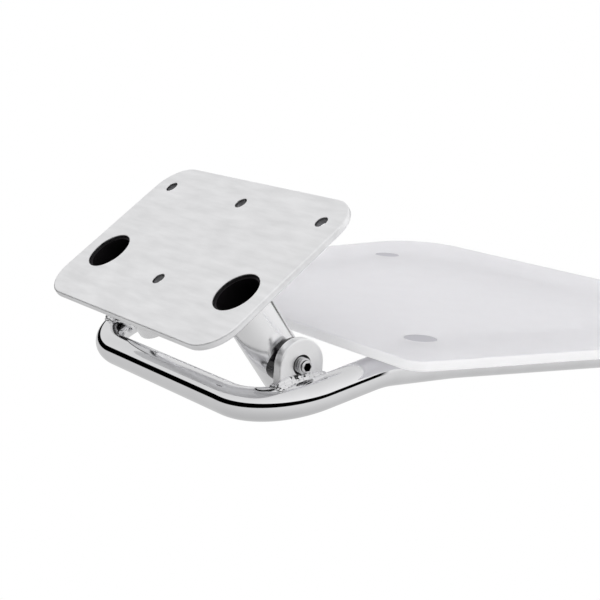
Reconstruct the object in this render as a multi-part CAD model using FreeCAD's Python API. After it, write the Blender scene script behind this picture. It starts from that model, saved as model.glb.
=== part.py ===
"""Wall-mounted fold-up shower seat.

A wall plate carries two short arms. A bent tube frame with a clear-frosted panel
turns about one horizontal axis through the ends of the arms.

Row frame, millimetres: +X along the hinge axis, +Y out from the wall, +Z up. The
origin is on the plate's wall face, level with the arms and midway between them.
The seat is modelled level, with (x, y, z) measured from the hinge axis, and is then
turned up by REST_ANGLE to its rest place, part way folded.
"""
import FreeCAD, Part
import math
import os

from FreeCAD import Vector

# ---- wall plate ----
PLATE_PAST_ARM = 14.0        # from the side of an arm to the plate's end
PLATE_ABOVE = 106.0          # from the arms' level up to the top edge
PLATE_BELOW = 54.0           # and down to the bottom edge
PLATE_THICKNESS = 6.0
PLATE_CORNER = 28.0
PLATE_EDGE_ROUND = 1.2
SCREW_HOLE_R = 5.25
TOP_HOLE_MARGIN = 25.0       # the row of three, from the plate's top edge
TOP_HOLE_END_MARGIN = 22.0   # its outer two, from the plate's ends
LOWER_HOLE_DROP = 10.5       # below the arms' level

# ---- arms ----
ARM_SPACING = 184.0
ARM_R = 19.0
ARM_WALL = 1.5
ARM_SEAT_IN_PLATE = 3.0      # how deep an arm sits in the plate's hole
ARM_SLIP = 0.05
CAP_THICKNESS = 4.0
CAP_ROUND = 2.5
CAP_SPIGOT = 3.0
CAP_PAST_BOSS = 0.5          # spigot's end to the pivot boss
WELD_LEG = 3.5

# ---- hinge ----
HINGE_OUT = 63.5             # hinge axis from the wall
REST_ANGLE = 52.0            # seat above level at rest
BOSS_WALL = 2.9
BUSH_FLANGE_INSET = 2.0      # flange edge inside the arm's outline
BUSH_WALL = 4.95
BUSH_SLIP = 0.1
BUSH_FACE_PROUD = 3.2        # bush face beyond the side of the arm
JOURNAL_CLEARANCE = 0.05
JOURNAL_LENGTH = 17.0
WASHER_GAP = 0.3
WASHER_THICKNESS = 1.1
WASHER_HOLE_SLIP = 0.4
LUG_THICKNESS = 8.0
LUG_PAST_ARM = 0.3           # lug's round top beyond the arm's outline
LUG_EDGE_ROUND = 0.6
THREAD_R = 5.9
THREAD_PITCH = 2.5
THREAD_DEPTH = 0.9
THREAD_HOLE_SLIP = 0.1
LUG_COUNTERSINK = 1.9
SCREW_PROUD = 6.5
SOCKET_ACROSS_FLATS = 6.0
SOCKET_DEPTH = 5.0

# ---- tube frame ----
TUBE_R = 12.5
TUBE_WALL = 1.5
STOP_GAP = 0.8               # rear bar to the arms' undersides, seat level
REAR_BACK = 32.6             # rear bar behind the hinge axis
RISE_SPREAD = 15.0           # from the rear corners out to where the sides reach
RISE_FORWARD = 58.0          # the seat's level
KNEE_SPREAD = 2.0            # and on to where they start to flare
KNEE_FORWARD = 129.0
FLARE_SPREAD = 30.5          # and on to where they run nearly parallel
FLARE_FORWARD = 315.0
FRONT_SPREAD = 1.5           # and on to the front corners
REAR_BEND_R = 55.0
RISE_BEND_R = 60.0
KNEE_BEND_R = 100.0
FLARE_BEND_R = 110.0
FRONT_BEND_R = 58.0
REAR_JOINT_SHARE = 0.35      # weld between rear bow and side rail, along rise to knee
FRONT_JOINT_SHARE = 0.5      # weld between side rail and front bow, along knee to flare
COPE_SLIP = 0.1

# ---- seat panel and its fixings ----
PANEL_THICKNESS = 8.0
PANEL_OVER_TUBE = 0.6
PANEL_BELOW_AXIS = 4.8       # tube centre below the hinge axis under the panel
PANEL_PAST_ARM = 17.5        # panel's rear edge from the arms' ends, seat level
PANEL_REAR_OVERHANG = 55.7   # panel's rear corners beyond the tube where it flares
PANEL_HIP_OVERHANG = 77.3    # panel's widest part beyond the flared tube
PANEL_HIP_SETBACK = 66.5     # widest part starts behind the front edge
PANEL_FRONT_OVERHANG = 64.0  # panel's front edge beyond the front bar
PANEL_FRONT_FORWARD = 456.0  # panel's front edge from the hinge axis
PANEL_REAR_CORNER = 15.0
PANEL_HIP_R = 90.0
PANEL_FRONT_CORNER = 52.0
PANEL_EDGE_ROUND = 1.5
FIXING_PAST_RISE = 36.5      # rear fixings forward of where the tube is level
FIXING_PAST_FLARE = 20.0     # front fixings forward of where it stops flaring
DISC_R = 12.5
DISC_THICKNESS = 3.0
DISC_SLIP = 0.1
SHANK_R = 4.0
SHANK_LENGTH = 15.0          # below the disc
SLEEVE_WALL = 2.4
SLEEVE_SLIP = 0.1
SADDLE_RIM = 2.5             # saddle washer beyond the sleeve
INSERT_WALL = 1.5
INSERT_LENGTH = 15.0

# ---- derived ----
X_AXIS = Vector(1, 0, 0)
Y_AXIS = Vector(0, 1, 0)
Z_AXIS = Vector(0, 0, 1)
HINGE = Vector(0, HINGE_OUT, 0)
SIDES = {"left": -1, "right": 1}
ARM_X = ARM_SPACING / 2
PLATE_WIDTH = ARM_SPACING + 2 * (ARM_R + PLATE_PAST_ARM)
TOP_HOLE_SPACING = PLATE_WIDTH / 2 - TOP_HOLE_END_MARGIN
JOURNAL_R = THREAD_R - THREAD_DEPTH
BUSH_BORE_R = JOURNAL_R + JOURNAL_CLEARANCE
BUSH_SLEEVE_R = BUSH_BORE_R + BUSH_WALL
BUSH_FLANGE_R = ARM_R - BUSH_FLANGE_INSET
BOSS_BORE_R = BUSH_SLEEVE_R + BUSH_SLIP
BOSS_R = BOSS_BORE_R + BOSS_WALL
ARM_PAST_HINGE = BOSS_R + CAP_PAST_BOSS + CAP_SPIGOT + CAP_THICKNESS
ARM_END = HINGE_OUT + ARM_PAST_HINGE     # the closed end's outside
BUSH_FACE_X = ARM_X + ARM_R + BUSH_FACE_PROUD
WASHER_X = BUSH_FACE_X + WASHER_GAP
LUG_X = WASHER_X + WASHER_THICKNESS
LUG_OUT_X = LUG_X + LUG_THICKNESS
LUG_R = ARM_R + LUG_PAST_ARM
LUG_COUNTERSINK_R = THREAD_R + LUG_COUNTERSINK
REAR_DROP = ARM_R + TUBE_R + STOP_GAP
REAR_HALF = WASHER_X + TUBE_R    # the rear corners' inner side is level with the washer
RISE_HALF = REAR_HALF + RISE_SPREAD
KNEE_HALF = RISE_HALF + KNEE_SPREAD
FLARE_HALF = KNEE_HALF + FLARE_SPREAD
FRONT_HALF = FLARE_HALF + FRONT_SPREAD
FRONT_FORWARD = PANEL_FRONT_FORWARD - PANEL_FRONT_OVERHANG
PANEL_REAR_FORWARD = ARM_PAST_HINGE + PANEL_PAST_ARM
PANEL_REAR_HALF = KNEE_HALF + PANEL_REAR_OVERHANG
PANEL_HIP_HALF = FLARE_HALF + PANEL_HIP_OVERHANG
PANEL_HIP_FORWARD = PANEL_FRONT_FORWARD - PANEL_HIP_SETBACK
FIXING_REAR_FORWARD = RISE_FORWARD + FIXING_PAST_RISE
FIXING_FRONT_FORWARD = FLARE_FORWARD + FIXING_PAST_FLARE
SLEEVE_R = SHANK_R + SLEEVE_SLIP + SLEEVE_WALL
SADDLE_R = SLEEVE_R + SADDLE_RIM
INSERT_R = SHANK_R + INSERT_WALL
SEAT_LEVEL = -PANEL_BELOW_AXIS
PANEL_BOTTOM = SEAT_LEVEL + TUBE_R + PANEL_OVER_TUBE
PANEL_TOP = PANEL_BOTTOM + PANEL_THICKNESS


# ---- helpers ----
def tangent_length(before, corner, after, radius):
    """Distance from a corner to where an arc of this radius meets its two runs."""
    turn = (corner - before).getAngle(after - corner)
    return radius * math.tan(turn / 2)


def corner_arc(before, corner, after, radius):
    """Three points of the arc that rounds a corner: its start, middle and end."""
    back = (before - corner).normalize()
    ahead = (after - corner).normalize()
    reach = tangent_length(before, corner, after, radius)
    start = corner + back * reach
    end = corner + ahead * reach
    bisector = (back + ahead).normalize()
    centre_distance = math.hypot(reach, radius)
    middle = corner + bisector * (centre_distance - radius)
    return start, middle, end


def bent_wire(points, radii, closed=False):
    """Straight runs between the points, joined by tangent arcs of the given radii."""
    count = len(points)
    corners = range(count) if closed else range(1, count - 1)
    edges = []
    last = None if closed else points[0]
    first_start = None
    for index, radius in zip(corners, radii):
        before = points[index - 1]
        after = points[(index + 1) % count]
        start, middle, end = corner_arc(before, points[index], after, radius)
        if last is None:
            first_start = start
        else:
            edges.append(Part.LineSegment(last, start).toShape())
        edges.append(Part.Arc(start, middle, end).toShape())
        last = end
    edges.append(Part.LineSegment(last, first_start if closed else points[-1]).toShape())
    return Part.Wire(edges)


def bar_along(points, radii, radius):
    """Solid round bar of the given radius along a bent path."""
    path = bent_wire(points, radii)
    profile = Part.Wire(Part.makeCircle(radius, points[0], points[1] - points[0]))
    return path.makePipeShell([profile], True, False)


def cylinder(radius, start, end):
    """Round bar between two points."""
    axis = end - start
    return Part.makeCylinder(radius, axis.Length, start, axis)


def cylinder_x(radius, start_x, end_x):
    """Round bar along the hinge axis, between two distances from the middle."""
    return cylinder(radius, HINGE + X_AXIS * start_x, HINGE + X_AXIS * end_x)


def for_side(shape, side):
    """The shape as built for the right-hand side, or its mirror for the left."""
    if SIDES[side] > 0:
        return shape
    return shape.mirror(Vector(0, 0, 0), X_AXIS)


def folded(shape):
    """A piece of the seat, turned up from level to its rest place."""
    turned = shape.copy()
    turned.rotate(HINGE, X_AXIS, REST_ANGLE)
    return turned


def rounded_slab(outline, radii, height, edge_round):
    """Slab over a closed rounded outline, with its long edges eased."""
    slab = Part.Face(bent_wire(outline, radii, closed=True)).extrude(height)
    along = height.normalize()
    rim = [edge for edge in slab.Edges
           if abs(edge.tangentAt(edge.FirstParameter).dot(along)) < 0.5]
    return slab.makeFillet(edge_round, rim)


def hexagon_bar(across_flats, start, length):
    """Six-sided bar along +X, for the screw's socket."""
    corner_r = across_flats / math.sqrt(3)
    corners = [start + Vector(0, corner_r * math.cos(a), corner_r * math.sin(a))
               for a in (math.radians(60 * k) for k in range(7))]
    return Part.Face(Part.makePolygon(corners)).extrude(X_AXIS * length)


# ---- wall side ----
def screw_hole_centres():
    """Centres of the plate's four screw holes: three in a row above, one below."""
    top = PLATE_ABOVE - TOP_HOLE_MARGIN
    row = [Vector(k * TOP_HOLE_SPACING, 0, top) for k in (-1, 0, 1)]
    return row + [Vector(0, 0, -LOWER_HOLE_DROP)]


def wall_plate():
    """Rounded plate with its screw holes and the two holes that the arms sit in."""
    half = PLATE_WIDTH / 2
    outline = [Vector(-half, 0, -PLATE_BELOW), Vector(half, 0, -PLATE_BELOW),
               Vector(half, 0, PLATE_ABOVE), Vector(-half, 0, PLATE_ABOVE)]
    plate = rounded_slab(outline, [PLATE_CORNER] * 4, Y_AXIS * PLATE_THICKNESS,
                         PLATE_EDGE_ROUND)
    holes = [cylinder(SCREW_HOLE_R, c, c + Y_AXIS * PLATE_THICKNESS)
             for c in screw_hole_centres()]
    for sign in SIDES.values():
        centre = X_AXIS * (sign * ARM_X)
        holes.append(cylinder(ARM_R + ARM_SLIP, centre, centre + Y_AXIS * PLATE_THICKNESS))
    return plate.cut(holes)


def arm_tube():
    """Right arm, with the cross hole that its bush goes through."""
    start = Vector(ARM_X, PLATE_THICKNESS - ARM_SEAT_IN_PLATE, 0)
    end = Vector(ARM_X, ARM_END - CAP_THICKNESS, 0)
    outside = cylinder(ARM_R, start, end)
    bore = cylinder(ARM_R - ARM_WALL, start, end)
    cross_hole = cylinder_x(BOSS_BORE_R, ARM_X, ARM_X + ARM_R)
    return outside.cut([bore, cross_hole])


def arm_end_cap():
    """Closed end of the right arm, with a spigot in the tube."""
    start = Vector(ARM_X, ARM_END - CAP_THICKNESS, 0)
    end = Vector(ARM_X, ARM_END, 0)
    disc = cylinder(ARM_R, start, end)
    rim = [edge for edge in disc.Edges if abs(edge.CenterOfMass.y - ARM_END) < 0.01]
    disc = disc.makeFillet(CAP_ROUND, rim)
    spigot_r = ARM_R - ARM_WALL - ARM_SLIP
    return disc.fuse(cylinder(spigot_r, start - Y_AXIS * CAP_SPIGOT, start))


def arm_weld():
    """Fillet weld round the right arm on the plate's front."""
    inner = ARM_R + ARM_SLIP
    foot = Vector(ARM_X + inner, PLATE_THICKNESS, 0)
    toe = foot + X_AXIS * WELD_LEG
    top = foot + Y_AXIS * WELD_LEG
    hollow = foot + (X_AXIS + Y_AXIS) * (WELD_LEG * 0.36)
    profile = Part.Wire([Part.LineSegment(foot, toe).toShape(),
                         Part.Arc(toe, hollow, top).toShape(),
                         Part.LineSegment(top, foot).toShape()])
    return Part.Face(profile).revolve(Vector(ARM_X, 0, 0), Y_AXIS, 360)


def pivot_boss():
    """Steel boss welded across the inside of the right arm, which holds the bush."""
    arm_inside = cylinder(ARM_R - ARM_WALL - ARM_SLIP, Vector(ARM_X, 0, 0),
                          Vector(ARM_X, ARM_END, 0))
    bar = cylinder_x(BOSS_R, ARM_X - ARM_R, ARM_X + ARM_R)
    bore = cylinder_x(BOSS_BORE_R, ARM_X - ARM_R, ARM_X + ARM_R)
    return bar.common(arm_inside).cut(bore)


def pivot_bush():
    """Black bearing bush: a flange that saddles the arm, and a sleeve inside it."""
    arm_outside = cylinder(ARM_R + BUSH_SLIP, Vector(ARM_X, 0, 0), Vector(ARM_X, ARM_END, 0))
    flange = cylinder_x(BUSH_FLANGE_R, ARM_X, BUSH_FACE_X).cut(arm_outside)
    sleeve = cylinder_x(BUSH_SLEEVE_R, BUSH_FACE_X - JOURNAL_LENGTH, BUSH_FACE_X)
    bore = cylinder_x(BUSH_BORE_R, ARM_X - ARM_R, BUSH_FACE_X)
    return flange.fuse(sleeve).cut(bore)


# ---- seat frame, level ----
def frame_point(half, forward, level=SEAT_LEVEL):
    """Point on the tube's centre line on the right, from the hinge axis."""
    return HINGE + Vector(half, forward, level)


REAR_CORNER = frame_point(REAR_HALF, -REAR_BACK, -REAR_DROP)
RISE = frame_point(RISE_HALF, RISE_FORWARD)
KNEE = frame_point(KNEE_HALF, KNEE_FORWARD)
FLARE = frame_point(FLARE_HALF, FLARE_FORWARD)
FRONT_CORNER = frame_point(FRONT_HALF, FRONT_FORWARD)
REAR_JOINT = RISE + (KNEE - RISE) * REAR_JOINT_SHARE
FRONT_JOINT = KNEE + (FLARE - KNEE) * FRONT_JOINT_SHARE


def mirrored(point):
    """The same point on the left."""
    return Vector(-point.x, point.y, point.z)


def rail_centre(forward):
    """Point of the right side's centre line at a distance forward of the hinge axis."""
    stations = [RISE, KNEE, FLARE, FRONT_CORNER]
    y = HINGE_OUT + forward
    for before, after in zip(stations, stations[1:]):
        if before.y <= y <= after.y:
            share = (y - before.y) / (after.y - before.y)
            return before + (after - before) * share
    raise ValueError("no rail at %.1f" % forward)


def at_fixings(make):
    """One shape per fixing, on both sides, from a function of its place on the tube."""
    right = [make(rail_centre(forward))
             for forward in (FIXING_REAR_FORWARD, FIXING_FRONT_FORWARD)]
    return right + [for_side(shape, "left") for shape in right]


def tube_along(points, radii):
    """Round tube along a bent path, with the holes for the threaded inserts."""
    outside = bar_along(points, radii, TUBE_R)
    inside = bar_along(points, radii, TUBE_R - TUBE_WALL)
    holes = at_fixings(lambda centre: cylinder(INSERT_R + SLEEVE_SLIP, centre,
                                                  centre + Z_AXIS * TUBE_R * 1.1))
    return outside.cut([inside] + holes)


REAR_BOW_PATH = [mirrored(REAR_JOINT), mirrored(RISE), mirrored(REAR_CORNER),
                 REAR_CORNER, RISE, REAR_JOINT]
REAR_BOW_RADII = [RISE_BEND_R, REAR_BEND_R, REAR_BEND_R, RISE_BEND_R]
FRONT_BOW_PATH = [mirrored(FRONT_JOINT), mirrored(FLARE), mirrored(FRONT_CORNER),
                  FRONT_CORNER, FLARE, FRONT_JOINT]
FRONT_BOW_RADII = [FLARE_BEND_R, FRONT_BEND_R, FRONT_BEND_R, FLARE_BEND_R]
SIDE_RAIL_PATH = [REAR_JOINT, KNEE, FRONT_JOINT]
SIDE_RAIL_RADII = [KNEE_BEND_R]


def frame_rear_bow():
    """Rear bar, its two corner bends and the rise to the seat's level."""
    return tube_along(REAR_BOW_PATH, REAR_BOW_RADII)


def frame_front_bow():
    """Front bar and the parallel ends of the sides."""
    return tube_along(FRONT_BOW_PATH, FRONT_BOW_RADII)


def frame_side_rail():
    """Right side rail, between the two bows."""
    return tube_along(SIDE_RAIL_PATH, SIDE_RAIL_RADII)


def rise_level(forward):
    """Height of the rising tube's centre, from the hinge axis, on the run to RISE."""
    share = (forward + REAR_BACK) / (RISE_FORWARD + REAR_BACK)
    return -REAR_DROP + share * (REAR_DROP + SEAT_LEVEL)


def hinge_lug():
    """Round-topped lug welded to the top and inside of the rising tube, on the right."""
    disc = cylinder_x(LUG_R, LUG_X, LUG_OUT_X)
    foot = [(-LUG_R, 0), (LUG_R, 0), (LUG_R, rise_level(LUG_R)), (-LUG_R, rise_level(-LUG_R))]
    corners = [HINGE + Vector(LUG_X, forward, level) for forward, level in foot + foot[:1]]
    skirt = Part.Face(Part.makePolygon(corners)).extrude(X_AXIS * LUG_THICKNESS)
    lug = disc.fuse(skirt).removeSplitter()
    rim = [edge for edge in lug.Edges if edge.BoundBox.XLength < 0.01]
    lug = lug.makeFillet(LUG_EDGE_ROUND, rim)
    cope = bar_along(REAR_BOW_PATH, REAR_BOW_RADII, TUBE_R + COPE_SLIP)
    hole = cylinder_x(THREAD_R + THREAD_HOLE_SLIP, LUG_X, LUG_OUT_X)
    sink_depth = LUG_COUNTERSINK_R - THREAD_R
    sink = Part.makeCone(THREAD_R, LUG_COUNTERSINK_R, sink_depth,
                         HINGE + X_AXIS * (LUG_OUT_X - sink_depth), X_AXIS)
    pieces = lug.cut([cope, hole, sink]).Solids
    return max(pieces, key=lambda piece: piece.BoundBox.ZMax)


def thrust_washer():
    """Steel washer between the bush and the right lug."""
    disc = cylinder_x(BUSH_FLANGE_R, WASHER_X, LUG_X)
    return disc.cut(cylinder_x(THREAD_R + WASHER_HOLE_SLIP, WASHER_X, LUG_X))


def pivot_screw():
    """Right pivot: a set screw through the lug with a plain journal in the bush."""
    tip_x = LUG_OUT_X + SCREW_PROUD
    journal_start = BUSH_FACE_X - JOURNAL_LENGTH + 1.0
    root = THREAD_R - THREAD_DEPTH
    turns = int((tip_x - WASHER_X) / THREAD_PITCH)
    thread_start = tip_x - turns * THREAD_PITCH
    outline = [(journal_start, 0), (journal_start, JOURNAL_R), (thread_start, JOURNAL_R)]
    for turn in range(turns):
        x = thread_start + turn * THREAD_PITCH
        outline.append((x + 0.1 * THREAD_PITCH, root))
        outline.append((x + 0.5 * THREAD_PITCH, THREAD_R))
        outline.append((x + 0.65 * THREAD_PITCH, THREAD_R))
        outline.append((x + THREAD_PITCH, root))
    outline.append((tip_x, 0))
    outline.append(outline[0])
    corners = [HINGE + Vector(x, 0, r) for x, r in outline]
    body = Part.Face(Part.makePolygon(corners)).revolve(HINGE, X_AXIS, 360)
    socket_start = HINGE + X_AXIS * (tip_x - SOCKET_DEPTH)
    return body.cut(hexagon_bar(SOCKET_ACROSS_FLATS, socket_start, SOCKET_DEPTH))


# ---- seat panel and its fixings, level ----
def at_height(centre, z):
    """The point above or below a fixing at a height from the hinge axis."""
    return Vector(centre.x, centre.y, z)


def seat_panel():
    """Frosted panel with a flush seat for each fixing disc."""
    right = [(PANEL_REAR_HALF, PANEL_REAR_FORWARD), (PANEL_HIP_HALF, PANEL_HIP_FORWARD),
             (PANEL_HIP_HALF, PANEL_FRONT_FORWARD)]
    right = [frame_point(half, forward, PANEL_BOTTOM) for half, forward in right]
    outline = right + [mirrored(point) for point in reversed(right)]
    radii = [PANEL_REAR_CORNER, PANEL_HIP_R, PANEL_FRONT_CORNER]
    slab = rounded_slab(outline, radii + radii[::-1], Z_AXIS * PANEL_THICKNESS,
                        PANEL_EDGE_ROUND)
    holes = at_fixings(lambda centre: cylinder(
        SLEEVE_R + SLEEVE_SLIP, at_height(centre, PANEL_BOTTOM), at_height(centre, PANEL_TOP)))
    seats = at_fixings(lambda centre: cylinder(
        DISC_R + DISC_SLIP, at_height(centre, PANEL_TOP - DISC_THICKNESS),
        at_height(centre, PANEL_TOP)))
    return slab.cut(holes + seats)


def fixing_disc(centre):
    """Flat disc head, flush with the panel, on a shank that goes down into the tube."""
    underside = PANEL_TOP - DISC_THICKNESS
    head = cylinder(DISC_R, at_height(centre, underside), at_height(centre, PANEL_TOP))
    shank = cylinder(SHANK_R, at_height(centre, underside - SHANK_LENGTH),
                     at_height(centre, underside))
    return head.fuse(shank)


def panel_sleeve(centre):
    """Clear sleeve between a shank and the panel."""
    top = at_height(centre, PANEL_TOP - DISC_THICKNESS)
    bottom = at_height(centre, PANEL_BOTTOM)
    return cylinder(SLEEVE_R, bottom, top).cut(cylinder(SHANK_R + SLEEVE_SLIP, bottom, top))


def saddle_washer(centre):
    """Round washer between the panel and the top of the tube, hollowed to the tube."""
    top = at_height(centre, PANEL_BOTTOM)
    washer = cylinder(SADDLE_R, centre, top)
    tubes = [bar_along(path, radii, TUBE_R + COPE_SLIP)
             for path, radii in ((SIDE_RAIL_PATH, SIDE_RAIL_RADII),
                                 (FRONT_BOW_PATH, FRONT_BOW_RADII))]
    insert = cylinder(INSERT_R + COPE_SLIP, centre, at_height(centre, SEAT_LEVEL + TUBE_R))
    return washer.cut(tubes + [insert, cylinder(SHANK_R + SLEEVE_SLIP, centre, top)])


def threaded_insert(centre):
    """Insert in the top of the tube that a shank screws into."""
    top = at_height(centre, SEAT_LEVEL + TUBE_R)
    bottom = at_height(centre, SEAT_LEVEL + TUBE_R - INSERT_LENGTH)
    return cylinder(INSERT_R, bottom, top).cut(cylinder(SHANK_R, bottom, top))


# ---- the whole seat ----
def build():
    """Every node of the seat, by name, at rest."""
    nodes = {"wall_plate": wall_plate()}
    for side in SIDES:
        nodes["arm_tube_" + side] = for_side(arm_tube(), side)
        nodes["arm_end_cap_" + side] = for_side(arm_end_cap(), side)
        nodes["arm_weld_" + side] = for_side(arm_weld(), side)
        nodes["pivot_boss_" + side] = for_side(pivot_boss(), side)
        nodes["pivot_bush_" + side] = for_side(pivot_bush(), side)
        nodes["hinge_lug_" + side] = folded(for_side(hinge_lug(), side))
        nodes["thrust_washer_" + side] = folded(for_side(thrust_washer(), side))
        nodes["pivot_screw_" + side] = folded(for_side(pivot_screw(), side))
        nodes["frame_side_rail_" + side] = folded(for_side(frame_side_rail(), side))
    nodes["frame_rear_bow"] = folded(frame_rear_bow())
    nodes["frame_front_bow"] = folded(frame_front_bow())
    nodes["seat_panel"] = folded(seat_panel())
    for name, make in (("fixing_discs", fixing_disc), ("panel_sleeves", panel_sleeve),
                       ("saddle_washers", saddle_washer),
                       ("threaded_inserts", threaded_insert)):
        nodes[name] = folded(Part.makeCompound(at_fixings(make)))
    return nodes


os.makedirs("parts", exist_ok=True)
for node, shape in build().items():
    shape.exportStep("parts/%s.step" % node)
    print("%-24s solids %d  volume %9.1f  valid %s"
          % (node, len(shape.Solids), shape.Volume, shape.isValid()))
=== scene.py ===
"""Looks of a wall-mounted fold-up shower seat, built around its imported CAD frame.

The wall side is a satin plate with two polished arms. The seat side is a polished
tube frame with a frosted panel, and both meet in a hinge of lugs, black bushes and
set screws. Pieces are modelled in millimetres: those on the wall side from the
plate's back, those on the seat side from the hinge axis with the seat level. Each
is then placed in the row frame, in metres.
"""
from __future__ import annotations

import logging
import math
from dataclasses import dataclass, field
from enum import Enum

import bmesh
import bpy
from mathutils import Matrix, Vector
from mathutils.bvhtree import BVHTree

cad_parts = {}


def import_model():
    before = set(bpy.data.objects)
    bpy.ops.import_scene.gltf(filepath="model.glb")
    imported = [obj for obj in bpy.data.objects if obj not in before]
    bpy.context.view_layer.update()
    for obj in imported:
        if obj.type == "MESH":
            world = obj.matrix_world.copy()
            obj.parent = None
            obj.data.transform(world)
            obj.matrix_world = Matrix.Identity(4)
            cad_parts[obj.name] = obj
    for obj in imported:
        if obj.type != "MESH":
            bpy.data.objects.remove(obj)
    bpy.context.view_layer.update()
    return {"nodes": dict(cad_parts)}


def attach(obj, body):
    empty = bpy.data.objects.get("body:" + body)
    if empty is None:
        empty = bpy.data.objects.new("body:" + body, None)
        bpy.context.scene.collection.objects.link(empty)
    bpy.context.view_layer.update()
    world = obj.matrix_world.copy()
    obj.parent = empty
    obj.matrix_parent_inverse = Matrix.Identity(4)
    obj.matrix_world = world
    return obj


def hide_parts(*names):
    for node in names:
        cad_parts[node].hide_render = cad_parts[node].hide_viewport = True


log = logging.getLogger("shower_seat")

MM = 0.001
RING_STEPS = 72
BEND_STEP = math.radians(3.0)
SHARP_ANGLE = math.radians(32.0)
FLAT_CORNERS = 9             # faces with this many corners or more are flat by design
FINE_DETAIL = 4.0
CLOUD_SCALE = 0.12           # size of the clouding's noise beside the grain's
CLOUD_DETAIL = 3.0
CLOUD_SPAN = (0.3, 0.7)      # part of the noise that the clouding is stretched over
ON_CIRCLE = 0.02             # how near a rim's points are to its circle
PANEL_TOP_TILT = 0.8         # faces of the panel that tilt further than this are its rim
HINGE_OUT = 63.5
REST_ANGLE = math.radians(52.0)

ON_WALL = Matrix.Scale(MM, 4)
ON_SEAT = (Matrix.Translation((0, HINGE_OUT * MM, 0)) @ Matrix.Rotation(REST_ANGLE, 4, "X")
           @ Matrix.Scale(MM, 4))


class Body(Enum):
    """The two bodies of the frame, by their names there."""

    WALL = "wall_side"
    SEAT = "seat"


class Side(Enum):
    """Left or right along the hinge axis."""

    LEFT = -1
    RIGHT = 1

    @property
    def word(self) -> str:
        """The side's name as used in piece names."""
        return self.name.lower()


# ---- finishes ----
@dataclass(frozen=True)
class Finish:
    """A metal or plastic finish, with a fine directional grain.

    Attributes:
        name: Material name.
        color: Base colour, linear.
        metallic: 1 for metal.
        roughness: Mean roughness.
        roughness_spread: How far the grain moves the roughness either way.
        grain: Noise frequency per metre along X, Y and Z of the row frame.
        tone_spread: How far the clouding moves the brightness either way.
        bump: Depth of the grain, in metres.
        transmission: Share of light let through.
        ior: Index of refraction.
        painted_glow: Painted light, given off by the surface as emission, as a strength.
    """

    name: str
    color: tuple[float, float, float]
    metallic: float = 1.0
    roughness: float = 0.1
    roughness_spread: float = 0.02
    grain: tuple[float, float, float] = (400.0, 400.0, 400.0)
    tone_spread: float = 0.02
    bump: float = 0.0
    transmission: float = 0.0
    ior: float = 1.49
    painted_glow: float = 0.0

    def material(self) -> bpy.types.Material:
        """Builds the finish's material, once."""
        found = bpy.data.materials.get(self.name)
        if found:
            return found
        made = bpy.data.materials.new(self.name)
        made.use_nodes = True
        nodes, links = made.node_tree.nodes, made.node_tree.links
        shader = nodes["Principled BSDF"]
        shader.inputs["Metallic"].default_value = self.metallic
        shader.inputs["IOR"].default_value = self.ior
        shader.inputs["Transmission Weight"].default_value = self.transmission
        shader.inputs["Emission Color"].default_value = (1.0, 1.0, 1.0, 1.0)
        shader.inputs["Emission Strength"].default_value = self.painted_glow

        place = nodes.new("ShaderNodeTexCoord")
        stretch = nodes.new("ShaderNodeMapping")
        stretch.inputs["Scale"].default_value = self.grain
        links.new(place.outputs["Object"], stretch.inputs["Vector"])
        fine = nodes.new("ShaderNodeTexNoise")
        fine.inputs["Scale"].default_value = 1.0
        fine.inputs["Detail"].default_value = FINE_DETAIL
        links.new(stretch.outputs["Vector"], fine.inputs["Vector"])
        clouds = nodes.new("ShaderNodeTexNoise")
        clouds.inputs["Scale"].default_value = CLOUD_SCALE
        clouds.inputs["Detail"].default_value = CLOUD_DETAIL
        links.new(stretch.outputs["Vector"], clouds.inputs["Vector"])

        rough = nodes.new("ShaderNodeMapRange")
        rough.inputs["To Min"].default_value = self.roughness - self.roughness_spread
        rough.inputs["To Max"].default_value = self.roughness + self.roughness_spread
        links.new(fine.outputs["Fac"], rough.inputs["Value"])
        links.new(rough.outputs["Result"], shader.inputs["Roughness"])

        tone = nodes.new("ShaderNodeMix")
        tone.data_type = "RGBA"
        dark = [c * (1.0 - self.tone_spread) for c in self.color]
        light = [min(1.0, c * (1.0 + self.tone_spread)) for c in self.color]
        tone.inputs["A"].default_value = (*dark, 1.0)
        tone.inputs["B"].default_value = (*light, 1.0)
        blend = nodes.new("ShaderNodeMapRange")
        blend.inputs["From Min"].default_value = CLOUD_SPAN[0]
        blend.inputs["From Max"].default_value = CLOUD_SPAN[1]
        links.new(clouds.outputs["Fac"], blend.inputs["Value"])
        links.new(blend.outputs["Result"], tone.inputs["Factor"])
        links.new(tone.outputs["Result"], shader.inputs["Base Color"])

        if self.bump:
            relief = nodes.new("ShaderNodeBump")
            relief.inputs["Distance"].default_value = self.bump
            relief.inputs["Strength"].default_value = 1.0
            links.new(fine.outputs["Fac"], relief.inputs["Height"])
            links.new(relief.outputs["Normal"], shader.inputs["Normal"])
        return made


SATIN_PLATE = Finish("satin_plate", (0.92, 0.92, 0.93), roughness=0.42, roughness_spread=0.05,
                     grain=(220.0, 700.0, 1100.0), tone_spread=0.06, bump=0.000006)
POLISHED_TUBE = Finish("polished_tube", (0.78, 0.78, 0.79), roughness=0.035,
                       roughness_spread=0.01)
POLISHED_ARM = Finish("polished_arm", (0.90, 0.90, 0.91), roughness=0.16,
                      roughness_spread=0.015)
SATIN_LUG = Finish("satin_lug", (0.97, 0.97, 0.975), roughness=0.42, roughness_spread=0.05,
                   grain=(900.0, 900.0, 900.0))
SCREW_STEEL = Finish("screw_steel", (0.82, 0.82, 0.825), roughness=0.12)
DISC_STEEL = Finish("disc_steel", (0.53, 0.525, 0.57), roughness=0.35, roughness_spread=0.05,
                    grain=(900.0, 900.0, 900.0))
BLACK_BUSH = Finish("black_bush", (0.006, 0.005, 0.006), metallic=0.0, roughness=0.12,
                    roughness_spread=0.04, ior=1.38)
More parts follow.
